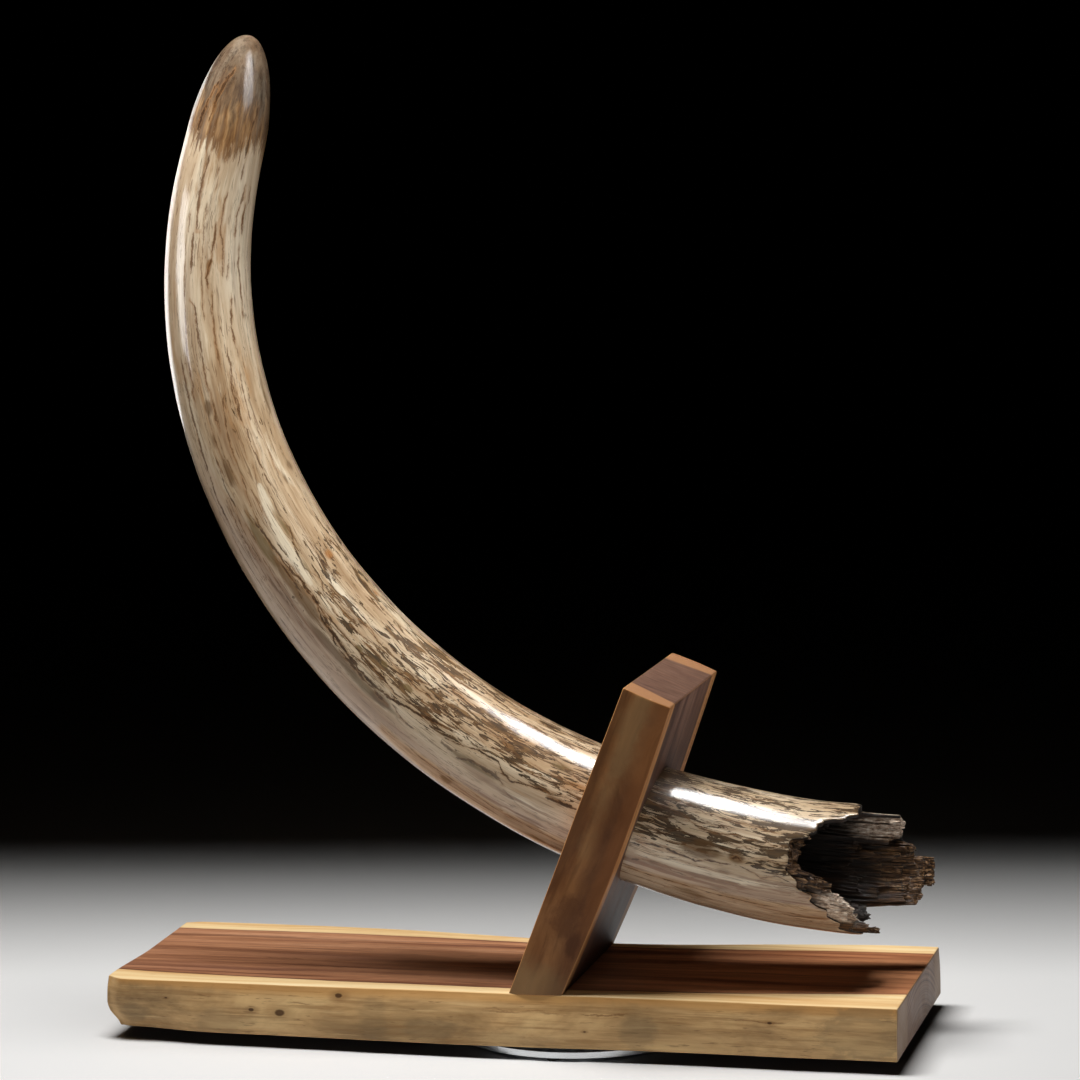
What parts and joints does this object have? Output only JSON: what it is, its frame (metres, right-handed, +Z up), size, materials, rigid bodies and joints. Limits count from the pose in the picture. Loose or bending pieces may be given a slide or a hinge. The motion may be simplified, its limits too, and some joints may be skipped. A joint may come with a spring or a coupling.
{
  "type": "mammoth tusk on a turntable stand",
  "caption": "Polished curved mammoth tusk with a torn hollow root end, wedged through a leaning walnut post on a live-edge walnut plank that turns on a flat ring.",
  "frame": {"origin": "on the floor, under the middle of the overall box; the turntable's axis is 61.6 mm to +X of it", "axes": "+Z up, +X along the plank towards the tusk's root end, -Y the front that shows the plank's long natural edge"},
  "size_m": [0.8203, 0.268, 1.0046],
  "materials": {
    "ivory": "polished fossil ivory, cream and tan with dark brown lengthwise streaks; dark brown fibrous broken end",
    "walnut_post": "satin oiled walnut, natural edge front and back",
    "walnut_plank": "satin oiled walnut heartwood with pale sapwood along both natural edges",
    "aluminium": "satin turned aluminium",
    "rubber": "matt black rubber",
    "steel": "zinc-plated steel"
  },
  "bodies": {
    "floor_ring": {"turntable_outer_ring": "aluminium", "foot_1": "rubber", "foot_2": "rubber", "foot_3": "rubber", "foot_4": "rubber", "foot_5": "rubber", "foot_6": "rubber"},
    "stand": {"turntable_inner_ring": "aluminium", "base": "walnut_plank", "post": "walnut_post", "tusk": "ivory", "ring_screw_1": "steel", "ring_screw_2": "steel", "ring_screw_3": "steel", "ring_screw_4": "steel", "post_screw_1": "steel", "post_screw_2": "steel"}
  },
  "joints": [
    {"name": "turntable_swivel", "type": "hinge", "parent": "floor_ring", "child": "stand", "pos_m": [0.0616, 0, 0.0066], "axis": [0, 0, 1], "continuous": true}
  ]
}
